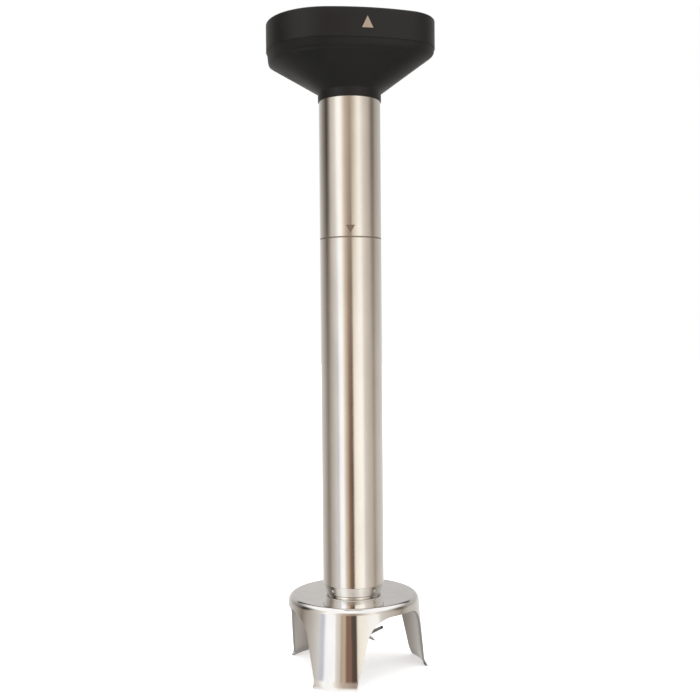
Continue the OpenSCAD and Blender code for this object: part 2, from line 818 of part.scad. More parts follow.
// Stamped blade with two wings bent by the angle tilt (up is positive) and a ground edge on each
module blade(tilt, z) {
    bend_x = hub_r + 1;
    root_x = bend_x - 0.5;
    wing_l = (blade_r - root_x) / cos(tilt);
    tip_w = blade_w * 0.42;
    wing_step = 0.1;
    half_w = blade_w / 2 - wing_step;
    wing = [[0, -half_w], [wing_l - 1, half_w - tip_w], [wing_l, half_w - tip_w + 1.2],
            [wing_l - 1.6, half_w], [0, half_w]];
    edge_turn = atan2(blade_w - tip_w, wing_l - 1);
    edge_t = blade_t * 0.25;
    bevel_angle = 28;
    bevel_start = 2;
    translate([0, 0, z]) difference() {
        union() {
            cylinder(r = hub_r, h = blade_t);
            translate([-bend_x, -blade_w / 2, 0]) cube([2 * bend_x, blade_w, blade_t]);
            for (side = [0, 180]) rotate(side)
                translate([root_x, 0, blade_t / 2]) rotate([0, -tilt, 0])
                    translate([0, 0, -blade_t / 2]) difference() {
                        linear_extrude(blade_t) polygon(wing);
                        translate([0, -half_w, edge_t]) rotate(edge_turn)
                            rotate([bevel_angle, 0, 0])
                                translate([bevel_start, -1, 0]) cube([wing_l * 2, 6, 4]);
                    }
        }
        translate([0, 0, -eps]) cylinder(r = stub_r + seat_gap, h = blade_t + 2 * eps);
    }
}

module upper_blade() color(blade_steel) {
    rotate(blade_angle) blade(blade_bend, blade_z + blade_t);
}

module lower_blade() color(blade_steel) {
    rotate(blade_angle + 90) blade(-blade_bend, blade_z);
}

// Domed hexagon nut under the blades
module blade_nut() color(polished_steel) {
    dome_r = (cap_nut_r ^ 2 + cap_dome_h ^ 2) / (2 * cap_dome_h);
    difference() {
        union() {
            translate([0, 0, blade_z - cap_nut_h]) cylinder(r = cap_nut_r, h = cap_nut_h, $fn = 6);
            intersection() {
                translate([0, 0, blade_z - cap_nut_h - cap_dome_h + dome_r]) sphere(r = dome_r);
                translate([0, 0, blade_z - cap_nut_h - cap_dome_h])
                    cylinder(r = cap_nut_r * 0.84, h = cap_dome_h + eps);
            }
        }
        translate([0, 0, stub_z]) cylinder(r = stub_r + seat_gap, h = cap_nut_h + eps);
    }
}

coupling_housing();
deck_plate();
deck_screws();
socket_ring();
socket_screws();
alignment_mark();
tube_flange();
flange_screws();
arm_tube();
bearing_carrier();
upper_shaft_seal();
bearing_outer_ring();
bearing_inner_ring();
bearing_balls();
bearing_cage();
bearing_shields();
carrier_circlip();
shaft_circlip();
drive_shaft();
drive_coupling();
coupling_pin();
foot_housing();
foot_o_ring();
lower_bush();
lower_shaft_seals();
seal_circlip();
bell_guard();
bell_nut();
blade_hub();
upper_blade();
lower_blade();
blade_nut();
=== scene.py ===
import json
import math

import bpy
from mathutils import Euler, Matrix, Vector


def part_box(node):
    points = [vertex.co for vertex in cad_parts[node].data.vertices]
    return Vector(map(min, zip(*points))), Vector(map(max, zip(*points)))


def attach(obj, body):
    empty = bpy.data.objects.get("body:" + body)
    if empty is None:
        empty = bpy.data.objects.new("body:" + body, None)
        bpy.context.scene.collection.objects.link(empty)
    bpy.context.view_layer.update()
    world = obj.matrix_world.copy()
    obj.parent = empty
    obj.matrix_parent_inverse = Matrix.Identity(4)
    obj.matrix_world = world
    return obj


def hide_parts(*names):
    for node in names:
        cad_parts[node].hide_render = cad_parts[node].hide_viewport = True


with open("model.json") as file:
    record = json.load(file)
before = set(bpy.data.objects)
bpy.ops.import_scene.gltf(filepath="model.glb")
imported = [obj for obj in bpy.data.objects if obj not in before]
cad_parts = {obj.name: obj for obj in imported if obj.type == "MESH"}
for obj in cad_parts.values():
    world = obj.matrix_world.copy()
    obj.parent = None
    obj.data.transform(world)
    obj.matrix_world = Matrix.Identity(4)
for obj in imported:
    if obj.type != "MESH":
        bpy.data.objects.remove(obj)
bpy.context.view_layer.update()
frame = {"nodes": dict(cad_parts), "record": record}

# Blending arm of a commercial immersion blender, in metres, in the frame of its CAD model:
# Z is the drive shaft, Z = 0 is the rim of the coupling housing and the arm hangs below it.

MM = 0.001
scene = bpy.context.scene
scene.view_settings.view_transform = "Standard"

foot_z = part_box("bell_guard")[0].z
bell_top_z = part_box("bell_guard")[1].z
tube_low, tube_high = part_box("arm_tube")
tube_r = tube_high.x
housing_low, housing_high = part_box("coupling_housing")


# ---------------------------------------------------------------- mesh helpers

def new_piece(name, verts, faces):
    """New object in the scene from its points and faces."""
    mesh = bpy.data.meshes.new(name)
    mesh.from_pydata([tuple(v) for v in verts], [], faces)
    mesh.update()
    piece = bpy.data.objects.new(name, mesh)
    scene.collection.objects.link(piece)
    return piece


def make_smooth(piece, sharp_angle=35):
    """Smooth shading, sharp where the faces turn by more than sharp_angle degrees."""
    mesh = piece.data
    mesh.polygons.foreach_set("use_smooth", [True] * len(mesh.polygons))
    mesh.set_sharp_from_angle(angle=math.radians(sharp_angle))


def settle(piece):
    """Applies the piece's modifiers to its mesh."""
    graph = bpy.context.evaluated_depsgraph_get()
    settled = bpy.data.meshes.new_from_object(piece.evaluated_get(graph), depsgraph=graph)
    piece.modifiers.clear()
    piece.data = settled


def soften_edges(piece, width, limit, segments=3):
    """Rounds the edges that turn by more than limit degrees and keeps the large faces evenly shaded."""
    bevel = piece.modifiers.new("edges", "BEVEL")
    bevel.width = width
    bevel.segments = segments
    bevel.limit_method = "ANGLE"
    bevel.angle_limit = math.radians(limit)
    bevel.use_clamp_overlap = True
    mesh = piece.data
    mesh.polygons.foreach_set("use_smooth", [True] * len(mesh.polygons))
    weighted = piece.modifiers.new("normals", "WEIGHTED_NORMAL")
    weighted.weight = 80
    settle(piece)


def ring_stack(name, rings, closed=True):
    """Skin over rings that have the same number of points; closed joins the last ring to the first."""
    count = len(rings[0])
    verts = [p for ring in rings for p in ring]
    last = len(rings) if closed else len(rings) - 1
    faces = []
    for j in range(last):
        low = j * count
        high = ((j + 1) % len(rings)) * count
        for i in range(count):
            k = (i + 1) % count
            faces.append((low + i, high + i, high + k, low + k))
    return new_piece(name, verts, faces)


def lathe(name, profile, steps):
    """Closed solid of revolution about Z from a closed profile of (radius, z)."""
    turns = [2 * math.pi * i / steps for i in range(steps)]
    rings = [[(r * math.cos(a), r * math.sin(a), z) for a in turns] for r, z in profile]
    return ring_stack(name, rings)


def arc(centre_x, centre_y, radius, start, end, steps):
    """Points on an arc, angles in degrees."""
    turns = [math.radians(start + (end - start) * i / steps) for i in range(steps + 1)]
    return [(centre_x + radius * math.cos(a), centre_y + radius * math.sin(a)) for a in turns]


# ---------------------------------------------------------------- materials

def node_tools(name):
    """New material with its node tree, its shader and the object coordinates."""
    mat = bpy.data.materials.new(name)
    mat.use_nodes = True
    tree = mat.node_tree
    shader = tree.nodes["Principled BSDF"]
    place = tree.nodes.new("ShaderNodeTexCoord").outputs["Object"]
    return mat, tree, shader, place


def stretched_noise(tree, place, stretch, detail=4.0, rough=0.6):
    """Noise whose features per metre along X, Y and Z are given by stretch."""
    mapping = tree.nodes.new("ShaderNodeMapping")
    mapping.inputs["Scale"].default_value = stretch
    noise = tree.nodes.new("ShaderNodeTexNoise")
    noise.inputs["Scale"].default_value = 1.0
    noise.inputs["Detail"].default_value = detail
    noise.inputs["Roughness"].default_value = rough
    tree.links.new(place, mapping.inputs["Vector"])
    tree.links.new(mapping.outputs["Vector"], noise.inputs["Vector"])
    return noise.outputs["Fac"]


def spread(tree, source, low, high, start=0.3, end=0.7):
    """Maps a noise value to the range low to high."""
    node = tree.nodes.new("ShaderNodeMapRange")
    node.inputs["From Min"].default_value = start
    node.inputs["From Max"].default_value = end
    node.inputs["To Min"].default_value = low
    node.inputs["To Max"].default_value = high
    tree.links.new(source, node.inputs["Value"])
    return node.outputs["Result"]


def tinted(tree, source, dark, light):
    """Colour between dark and light by a noise value."""
    ramp = tree.nodes.new("ShaderNodeValToRGB")
    ramp.color_ramp.elements[0].position = 0.3
    ramp.color_ramp.elements[1].position = 0.7
    ramp.color_ramp.elements[0].color = (*dark, 1)
    ramp.color_ramp.elements[1].color = (*light, 1)
    tree.links.new(source, ramp.inputs["Fac"])
    return ramp.outputs["Color"]


def add_bump(tree, shader, height, depth, strength=1.0, before=None):
    """Bump of the given depth in metres; before is the normal of an earlier bump."""
    bump = tree.nodes.new("ShaderNodeBump")
    bump.inputs["Strength"].default_value = strength
    bump.inputs["Distance"].default_value = depth
    tree.links.new(height, bump.inputs["Height"])
    if before is not None:
        tree.links.new(before, bump.inputs["Normal"])
    tree.links.new(bump.outputs["Normal"], shader.inputs["Normal"])
    return bump.outputs["Normal"]


def shade(colour, factor):
    """The colour made darker or lighter by a factor."""
    return tuple(c * factor for c in colour)


def moulded_plastic(name, colour, rough=0.45, grain=2600, depth=0.00004, specular=0.5):
    """Moulded plastic: fine eroded grain, a slow change of tone and patches that shine a little more."""
    mat, tree, shader, place = node_tools(name)
    slow = stretched_noise(tree, place, (45, 45, 45), 3)
    fine = stretched_noise(tree, place, (grain, grain, grain), 2)
    shader.inputs["Specular IOR Level"].default_value = specular
    tone = tinted(tree, slow, shade(colour, 0.8), shade(colour, 1.2))
    tree.links.new(tone, shader.inputs["Base Color"])
    tree.links.new(spread(tree, slow, rough - 0.06, rough + 0.06), shader.inputs["Roughness"])
    add_bump(tree, shader, fine, depth)
    return mat


def steel(name, colour, rough, lines, depth, wave=0.0, rough_swing=0.04):
    """Steel with fine lines (features per metre along X, Y, Z), smudges and, if wave is set, waviness."""
    mat, tree, shader, place = node_tools(name)
    shader.inputs["Metallic"].default_value = 1.0
    smudge = stretched_noise(tree, place, (60, 60, 22), 4)
    line = stretched_noise(tree, place, lines, 3, 0.7)
    tone = tinted(tree, smudge, shade(colour, 0.93), shade(colour, 1.05))
    gloss = spread(tree, smudge, rough - rough_swing, rough + rough_swing)
    tree.links.new(tone, shader.inputs["Base Color"])
    tree.links.new(gloss, shader.inputs["Roughness"])
    normal = None
    if wave:
        slow = stretched_noise(tree, place, (55, 55, 30), 1)
        normal = add_bump(tree, shader, slow, wave)
    add_bump(tree, shader, line, depth, before=normal)
    return mat


def soft_rubber(name, colour):
    """Matt rubber with a fine grain and a little dust."""
    mat, tree, shader, place = node_tools(name)
    fine = stretched_noise(tree, place, (3500, 3500, 3500), 2)
    dust = stretched_noise(tree, place, (180, 180, 180), 4)
    shader.inputs["Specular IOR Level"].default_value = 0.35
    tree.links.new(tinted(tree, dust, colour, shade(colour, 1.8)), shader.inputs["Base Color"])
    tree.links.new(spread(tree, dust, 0.6, 0.75), shader.inputs["Roughness"])
    add_bump(tree, shader, fine, 0.00003)
    return mat


black_plastic = moulded_plastic("black_plastic", (0.0045, 0.0045, 0.0047), 0.46, specular=0.31)
mark_plastic = moulded_plastic("mark_plastic", (0.30, 0.235, 0.185), 0.6)
acetal = moulded_plastic("acetal", (0.68, 0.65, 0.56), 0.4)
tube_steel = steel("tube_steel", (0.63, 0.61, 0.585), 0.16, (60, 60, 2600), 0.000003, rough_swing=0.02)
bell_steel = steel("bell_steel", (0.60, 0.595, 0.59), 0.035, (900, 900, 900), 0.000001, wave=0.00012,
                   rough_swing=0.012)
# Satin steel for the inside of the bell; its colour, darker than the bell's outside, is painted shade.
bell_inside_satin_shaded_steel = steel("bell_inside_satin_shaded_steel", (0.50, 0.485, 0.475), 0.32, (90, 90, 900), 0.000004)
collar_steel = steel("collar_steel", (0.94, 0.93, 0.91), 0.12, (40, 40, 3000), 0.000003, rough_swing=0.03)
ground_steel = steel("ground_steel", (0.28, 0.27, 0.265), 0.3, (2600, 300, 300), 0.000006)
plated_steel = steel("plated_steel", (0.55, 0.55, 0.54), 0.34, (700, 700, 700), 0.000006)
screw_steel = steel("screw_steel", (0.60, 0.59, 0.58), 0.25, (1200, 1200, 1200), 0.000005)
bearing_steel = steel("bearing_steel", (0.68, 0.68, 0.68), 0.09, (50, 50, 3000), 0.000002)
spring_steel = steel("spring_steel", (0.14, 0.14, 0.15), 0.36, (900, 900, 900), 0.000005)
bronze = steel("bronze", (0.46, 0.30, 0.13), 0.4, (2600, 2600, 2600), 0.000012)
etched_steel = steel("etched_steel", (0.26, 0.215, 0.175), 0.42, (900, 900, 900), 0.000005)
rubber = soft_rubber("rubber", (0.014, 0.014, 0.014))

by_slot = {
    "housing_plastic": black_plastic, "mark_plastic": mark_plastic, "tube_steel": tube_steel,
    "bell_steel": bell_steel, "foot_steel": collar_steel, "blade_steel": ground_steel,
    "plate_steel": plated_steel, "screw_steel": screw_steel, "bearing_steel": bearing_steel,
    "spring_steel": spring_steel, "seal_rubber": rubber, "bush_bronze": bronze,
    "carrier_plastic": acetal,
}

for subpart in frame["record"]["subparts"]:
    mesh = frame["nodes"][subpart["node"]].data
    mesh.materials.clear()
    mesh.materials.append(by_slot[subpart["material_slot"]])


def finish_piece(piece, body, slot, *nodes, material=None):
    """Gives a piece its material, its body and the CAD nodes that it stands for."""
    piece.data.materials.clear()
    piece.data.materials.append(material or by_slot[slot])
    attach(piece, body)
    if nodes:
        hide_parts(*nodes)


# ---------------------------------------------------------------- coupling housing

back_offset = 14.5 * MM
nose_offset = 31.5 * MM
nose_r = 24.3 * MM
flank_r = 144 * MM
back_r = housing_high.y
neck_wall = 0.6 * MM
neck_r = tube_r + neck_wall
band_h = 18.6 * MM
band_step = 0.5 * MM
shoulder_drop = 5.6 * MM
shoulder_tilt = 1.6 * MM
cone_h = 21.1 * MM
shoulder_lean = 4.5 * MM
shoulder_r = 4.6 * MM
neck_fillet_r = 1.5 * MM
housing_wall = 3 * MM
ledge_w = 5 * MM
relief_h = 6 * MM
deck_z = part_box("deck_plate")[0].z
floor_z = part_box("tube_flange")[0].z
flange_fit = 0.3 * MM
well_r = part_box("tube_flange")[1].x + flange_fit

circle_gap = nose_offset + back_offset
flank_along = (circle_gap ** 2 + (flank_r - back_r) ** 2 - (flank_r - nose_r) ** 2) / (2 * circle_gap)
flank_x = flank_along - back_offset
flank_y = -math.sqrt((flank_r - back_r) ** 2 - flank_along ** 2)
nose_turn = math.atan2(-flank_y, nose_offset - flank_x)
flank_turn = math.atan2(-flank_y, -back_offset - flank_x)


def outline_point(psi, inset):
    """Point of the egg-shaped outline whose outward normal points at psi, moved in by inset."""
    q = abs(psi)
    if q < nose_turn:
        x, y, r = nose_offset, 0, nose_r
    elif q < flank_turn:
        x, y, r = flank_x, flank_y, flank_r
    else:
        x, y, r = -back_offset, 0, back_r
    side = -1 if psi < 0 else 1
    return x + (r - inset) * math.cos(q), side * (y + (r - inset) * math.sin(q))


outline_steps = 240
outline_turns = [math.pi * (2 * i / outline_steps - 1) for i in range(outline_steps)]


def band_ring(inset, z):
    """Egg-shaped ring at height z, moved in by inset."""
    return [(*outline_point(psi, inset), z) for psi in outline_turns]


def round_ring(radius, z):
    """Round ring at height z with a point for each point of a band ring."""
    return [(radius * math.cos(psi), radius * math.sin(psi), z) for psi in outline_turns]


def funnel_profile(psi):
    """Funnel in the direction psi: (share of the way in to the neck, z). Its corner is higher at the nose
    and leans in along the flanks."""
    run = back_offset + back_r - band_step - neck_r
    tilt = shoulder_tilt * math.cos(psi)
    shoulder_z = -band_h - shoulder_drop
    cone_end_z = shoulder_z - cone_h
    turn = math.pi / 2 - math.atan2(cone_h + tilt, run)
    shoulder_top = shoulder_z + tilt + shoulder_r * math.tan(turn / 2)
    fillet_low = cone_end_z - neck_fillet_r * math.tan(turn / 2)
    turn = math.degrees(turn)
    shoulder = [(shoulder_r - x, shoulder_top - y) for x, y in arc(0, 0, shoulder_r, 0, turn, 12)]
    fillet = [(run - neck_fillet_r + x, fillet_low + y) for x, y in arc(0, 0, neck_fillet_r, turn, 0, 6)]
    first, last = shoulder[-1], fillet[0]
    cone_steps = 8
    cone = [(first[0] + (last[0] - first[0]) * i / cone_steps,
             first[1] + (last[1] - first[1]) * i / cone_steps) for i in range(1, cone_steps)]
    lean = shoulder_lean / run * abs(math.sin(psi))
    points = []
    for x, z in shoulder + cone + fillet:
        share = x / run
        lower = min(1, (-band_h - z) / shoulder_drop)
        points.append((share + lean * lower * (1 - share), z))
    return points


def funnel_rings():
    """Rings of the funnel from under the band down to the neck."""
    columns = []
    for psi in outline_turns:
        x, y = outline_point(psi, band_step)
        neck_x, neck_y = neck_r * math.cos(psi), neck_r * math.sin(psi)
        columns.append([((1 - f) * x + f * neck_x, (1 - f) * y + f * neck_y, z)
                        for f, z in funnel_profile(psi)])
    return [list(ring) for ring in zip(*columns)]


def make_housing():
    """Housing as one closed skin: band, funnel, neck, bore, well, relief and recess."""
    neck_z = housing_low.z
    lip = 1.2 * MM
    edge = 0.25 * MM
    neck_edge = 0.2 * MM
    step_slope = 0.02 * MM
    rim_bevel = 0.4 * MM
    bore_r = tube_r + 0.04 * MM
    relief_inset = housing_wall + ledge_w
    rings = [band_ring(lip - x, z - lip) for x, z in arc(0, 0, lip, 90, 0, 6)]
    rings += [band_ring(0, -band_h * f) for f in (0.3, 0.6, 0.9)]
    rings += [band_ring(edge - x, -band_h + edge + y) for x, y in arc(0, 0, edge, 0, -90, 3)]
    rings += [band_ring(band_step, -band_h - step_slope)]
    rings += funnel_rings()
    rings += [round_ring(neck_r, neck_z + neck_edge), round_ring(neck_r - neck_edge, neck_z)]
    rings += [round_ring(bore_r, neck_z), round_ring(bore_r, floor_z)]
    rings += [round_ring(well_r, floor_z), round_ring(well_r, deck_z - relief_h)]
    rings += [band_ring(relief_inset, deck_z - relief_h), band_ring(relief_inset, deck_z)]
    rings += [band_ring(housing_wall, deck_z), band_ring(housing_wall, -rim_bevel)]
    rings += [band_ring(housing_wall - rim_bevel, 0)]
    housing = ring_stack("housing_shell", rings)
    make_smooth(housing, 30)
    finish_piece(housing, "arm", "housing_plastic", "coupling_housing")


make_housing()


# ---------------------------------------------------------------- arm tube

level_up = 281 * MM
level_z = foot_z + level_up
view_turn = math.radians(8)
around = 256


def make_tube():
    """Tube with chamfered foot and the ring groove."""
    wall = 1.5 * MM
    chamfer = 0.15 * MM
    groove_w = 0.5 * MM
    groove_d = 0.3 * MM
    low, high = tube_low.z, tube_high.z
    outer = [(tube_r - chamfer, low), (tube_r, low + chamfer)]
    outer += [(tube_r, low + (level_z - low) * f) for f in (0.02, 0.3, 0.6, 0.9)]
    outer += [(tube_r, level_z - groove_w), (tube_r - groove_d * 0.3, level_z - groove_w * 0.8),
              (tube_r - groove_d, level_z - groove_w * 0.4), (tube_r - groove_d, level_z + groove_w * 0.4),
              (tube_r - groove_d * 0.3, level_z + groove_w * 0.8), (tube_r, level_z + groove_w)]
    outer += [(tube_r, level_z + (high - level_z) * f) for f in (0.3, 0.7)]
    outer += [(tube_r, high)]
    inner = [(tube_r - wall, high), (tube_r - wall, low)]
    tube = lathe("tube_skin", outer + inner, around)
    make_smooth(tube, 30)
    finish_piece(tube, "arm", "tube_steel", "arm_tube")


def make_level_arrow():
    """Small etched arrow head over the ring, bent round the tube."""
    half_w = 3 * MM
    height = 5 * MM
    low = level_z + 2.5 * MM
    centre = view_turn - math.pi / 2
    proud = 0.02 * MM
    sunk = 0.2 * MM
    tip_share = 0.02
    rows = 10
    columns = 8
    verts = []
    for radius in (tube_r + proud, tube_r - sunk):
        for j in range(rows + 1):
            width = half_w * max(j / rows, tip_share)
            for i in range(columns + 1):
                a = centre + (2 * i / columns - 1) * width / tube_r
                verts.append((radius * math.cos(a), radius * math.sin(a), low + height * j / rows))
    line = columns + 1
    sheet = line * (rows + 1)
    faces = []
    for j in range(rows):
        for i in range(columns):
            a = j * line + i
            faces.append((a, a + 1, a + line + 1, a + line))
            faces.append((a + sheet, a + sheet + line, a + sheet + line + 1, a + sheet + 1))
    border = list(range(columns))
    border += [j * line + columns for j in range(rows)]
    border += [rows * line + columns - i for i in range(columns)]
    border += [(rows - j) * line for j in range(rows)]
    for k, a in enumerate(border):
        b = border[(k + 1) % len(border)]
        faces.append((b, a, a + sheet, b + sheet))
    arrow = new_piece("level_arrow", verts, faces)
    make_smooth(arrow, 30)
    finish_piece(arrow, "arm", "tube_steel", material=etched_steel)


def make_level_ring():
    """Dark etched floor of the ring that is cut round the tube."""
    top = tube_r - 0.06 * MM
    half_w = 0.42 * MM
    depth = 0.3 * MM
    profile = [(top - depth, level_z - half_w), (top, level_z - half_w), (top, level_z),
               (top, level_z + half_w), (top - depth, level_z + half_w)]
    ring = lathe("level_ring", profile, around)
    make_smooth(ring, 30)
    finish_piece(ring, "arm", "tube_steel", material=etched_steel)


make_tube()
make_level_arrow()
make_level_ring()


# ---------------------------------------------------------------- bell guard

bell_top_r = 42.9 * MM
bell_bend_r = 4 * MM
skirt_lean = 4.6
lip_h = 6.5 * MM
lip_r = 11 * MM
sheet_t = 1.5 * MM
boss_r = 15.04 * MM
leg_turns = [math.radians(23 + 120 * i) for i in range(3)]
leg_foot_angle = 16.4
leg_widening = 0.335 / MM
window_h = 42.7 * MM
window_r = 17 * MM
leg_corner_r = 2.5 * MM

lean_sin = math.sin(math.radians(skirt_lean))
lean_cos = math.cos(math.radians(skirt_lean))
bend_centre_r = bell_top_r - bell_bend_r
bend_centre_h = bell_top_z - foot_z - bell_bend_r
bend_end_r = bend_centre_r + bell_bend_r * lean_cos
bend_end_h = bend_centre_h + bell_bend_r * lean_sin
lip_centre_r = bend_end_r + (bend_end_h - lip_h) * lean_sin / lean_cos + lip_r * lean_cos
lip_centre_h = lip_h + lip_r * lean_sin


def skirt_r(h, inset=0.0):
    """Radius of the skirt at a height over the feet, moved into the sheet by inset."""
    curl_r = lip_r + inset
    if h > lip_centre_h - curl_r * lean_sin:
        return bend_end_r + (bend_end_h - h) * lean_sin / lean_cos - inset / lean_cos
    return lip_centre_r - math.sqrt(curl_r ** 2 - (lip_centre_h - h) ** 2)


def window_x(h):
    """Half width of a window at a height over the feet, seen square on."""
    return skirt_r(h) * math.sin(math.radians(60 - leg_foot_angle - leg_widening * h))


def window_rows():
    """(height, half width of the window) from the top edge of a window down to the feet."""
    lean = math.atan2(window_x(window_h - window_r) - window_x(window_h), window_r)
    tangent_h = window_h - window_r * (1 - math.sin(lean))
    corner_x = window_x(tangent_h) - window_r * math.cos(lean)
    corner = arc(corner_x, window_h - window_r, window_r, 90, math.degrees(lean), 18)
    upper = [(y, x) for x, y in corner]
    side_steps = 24
    side = []
    for i in range(1, side_steps + 1):
        h = tangent_h + (leg_corner_r - tangent_h) * i / side_steps
        side.append((h, window_x(h)))
    foot_x = window_x(leg_corner_r)
    foot = arc(foot_x + leg_corner_r, leg_corner_r, leg_corner_r, 180, 270, 8)
    lower = [(y, x) for x, y in foot[1:]]
    return upper + side + lower


def make_bell():
    """Bell as a closed sheet: disc, bend and top of the skirt all round, then the three legs."""
    leg_steps = 44
    gap_steps = 16
    disc_steps = 10
    rows = window_rows()
    top_half = math.pi / 3 - math.asin(min(1, rows[0][1] / skirt_r(rows[0][0])))
    turns = []
    for centre in leg_turns:
        turns += [centre - top_half + 2 * top_half * i / leg_steps for i in range(leg_steps)]
        gap = 2 * (math.pi / 3 - top_half)
        turns += [centre + top_half + gap * i / gap_steps for i in range(gap_steps)]
    bend_z = foot_z + bend_centre_h
    outer = [(boss_r + (bend_centre_r - boss_r) * i / disc_steps, bell_top_z) for i in range(disc_steps)]
    inner = [(r, z - sheet_t) for r, z in outer]
    outer += arc(bend_centre_r, bend_z, bell_bend_r, 90, skirt_lean, 10)
    inner += arc(bend_centre_r, bend_z, bell_bend_r - sheet_t, 90, skirt_lean, 10)
    for i in (1, 2, 3):
        h = bend_end_h + (window_h - bend_end_h) * i / 3
        outer.append((skirt_r(h), foot_z + h))
        inner.append((skirt_r(h, sheet_t), foot_z + h))
    count = len(turns)
    verts = []
    faces = []

    def add_point(radius, turn, z):
        verts.append((radius * math.cos(turn), radius * math.sin(turn), z))
        return len(verts) - 1

    outer_rings = [[add_point(r, a, z) for a in turns] for r, z in outer]
    inner_rings = [[add_point(r, a, z) for a in turns] for r, z in inner]
    for j in range(len(outer) - 1):
        for i in range(count):
            k = (i + 1) % count
            faces.append((outer_rings[j][i], outer_rings[j + 1][i],
                          outer_rings[j + 1][k], outer_rings[j][k]))
            faces.append((inner_rings[j][i], inner_rings[j][k],
                          inner_rings[j + 1][k], inner_rings[j + 1][i]))
    for i in range(count):
        k = (i + 1) % count
        faces.append((outer_rings[0][i], outer_rings[0][k], inner_rings[0][k], inner_rings[0][i]))
    sector = leg_steps + gap_steps
    for leg, centre in enumerate(leg_turns):
        first = leg * sector
        picks = [(first + i) % count for i in range(leg_steps + 1)]
        upper_out = [outer_rings[-1][i] for i in picks]
        upper_in = [inner_rings[-1][i] for i in picks]
        for h, half_x in rows[1:]:
            r = skirt_r(h)
            half = math.pi / 3 - math.asin(half_x / r)
            angles = [centre + half * (2 * i / leg_steps - 1) for i in range(leg_steps + 1)]
            lower_out = [add_point(r, a, foot_z + h) for a in angles]
            lower_in = [add_point(skirt_r(h, sheet_t), a, foot_z + h) for a in angles]
            for i in range(leg_steps):
                faces.append((upper_out[i], lower_out[i], lower_out[i + 1], upper_out[i + 1]))
                faces.append((upper_in[i], upper_in[i + 1], lower_in[i + 1], lower_in[i]))
            faces.append((upper_out[0], upper_in[0], lower_in[0], lower_out[0]))
            faces.append((upper_out[-1], lower_out[-1], lower_in[-1], upper_in[-1]))
            upper_out, upper_in = lower_out, lower_in
        for i in range(leg_steps):
            faces.append((upper_out[i], upper_in[i], upper_in[i + 1], upper_out[i + 1]))
        gap_first = first + leg_steps
        for i in range(gap_steps):
            a = (gap_first + i) % count
            b = (gap_first + i + 1) % count
            faces.append((outer_rings[-1][a], inner_rings[-1][a],
                          inner_rings[-1][b], outer_rings[-1][b]))
    bell = new_piece("bell_shell", verts, faces)
    edge_r = 0.4 * MM
    soften_edges(bell, edge_r, limit=50)
    finish_piece(bell, "arm", "bell_steel", "bell_guard")
    # The inside of the bell is left satin, and its steel is coloured darker than the outside as painted
    # shade.
    bell.data.materials.append(bell_inside_satin_shaded_steel)
    for face in bell.data.polygons:
        outward = Vector((face.center.x, face.center.y, 0)).normalized()
        if face.normal.dot(outward) < -0.5 or face.normal.z < -0.8:
            face.material_index = 1


make_bell()


# ---------------------------------------------------------------- camera, floor and light

def make_floor():
    """Pale floor that glows a little, as a light table does."""
    reach = 6.0
    corners = [(-reach, -reach), (reach, -reach), (reach, reach), (-reach, reach)]
    floor = new_piece("floor", [(x, y, foot_z) for x, y in corners], [(0, 1, 2, 3)])
    mat, tree, shader, place = node_tools("floor_paint")
    speckle = stretched_noise(tree, place, (30, 30, 30), 3)
    paint = tinted(tree, speckle, (0.86, 0.87, 0.89), (0.89, 0.9, 0.92))
    tree.links.new(paint, shader.inputs["Base Color"])
    shader.inputs["Roughness"].default_value = 0.9
    shader.inputs["Emission Color"].default_value = (1, 1, 1, 1)
    shader.inputs["Emission Strength"].default_value = 0.5
    shader.inputs["Specular IOR Level"].default_value = 0.1
    floor.data.materials.append(mat)
    floor.visible_glossy = False


def make_camera():
    """Camera at distance from the shaft and at height over the feet, in metres."""
    distance = 0.651
    height = 0.221
    pitch = math.radians(1.09)
    yaw = math.radians(0.09)
    roll = math.radians(-0.49)
    data = bpy.data.cameras.new("camera")
    data.lens = 51.05
    data.sensor_width = 36
    camera = bpy.data.objects.new("camera", data)
    scene.collection.objects.link(camera)
    camera.location = (distance * math.sin(view_turn), -distance * math.cos(view_turn), foot_z + height)
    camera.rotation_mode = "XYZ"
    aim = Euler((math.pi / 2 - pitch, 0, view_turn + yaw), "XYZ").to_matrix()
    camera.rotation_euler = (aim @ Matrix.Rotation(roll, 3, "Z")).to_euler("XYZ")
    scene.camera = camera


def linear(colour):
    """Scene-linear value of an sRGB colour given as 0 to 255."""
    out = []
    for c in colour:
        c /= 255
        out.append(c / 12.92 if c <= 0.04045 else ((c + 0.055) / 1.055) ** 2.4)
    return out


# Studio seen by the steel: (degrees to the right of the camera, colour) at the height of the bell
# and higher up, where the panels are softer.
low_panels = [
    (-180, (206, 204, 201)), (-150, (198, 195, 191)), (-119, (168, 161, 153)), (-100, (128, 118, 108)),
    (-89, (160, 151, 142)), (-66, (196, 191, 184)), (-60, (204, 202, 201)), (-56, (196, 195, 202)),
    (-52, (198, 197, 204)), (-47, (250, 250, 252)), (-32, (255, 253, 250)), (-29, (222, 215, 206)),
    (-23, (208, 198, 186)), (-21, (178, 162, 143)), (-15, (190, 170, 148)), (-12, (128, 98, 82)),
    (-5, (130, 101, 86)), (-3, (92, 74, 64)), (4, (78, 70, 62)), (6, (232, 222, 206)),
    (11, (244, 236, 221)), (30, (252, 249, 243)), (41, (250, 246, 241)), (48, (212, 206, 198)),
    (60, (198, 190, 180)), (80, (180, 170, 159)), (90, (152, 143, 132)), (108, (186, 179, 171)),
    (150, (200, 198, 195)), (180, (206, 204, 201)),
]
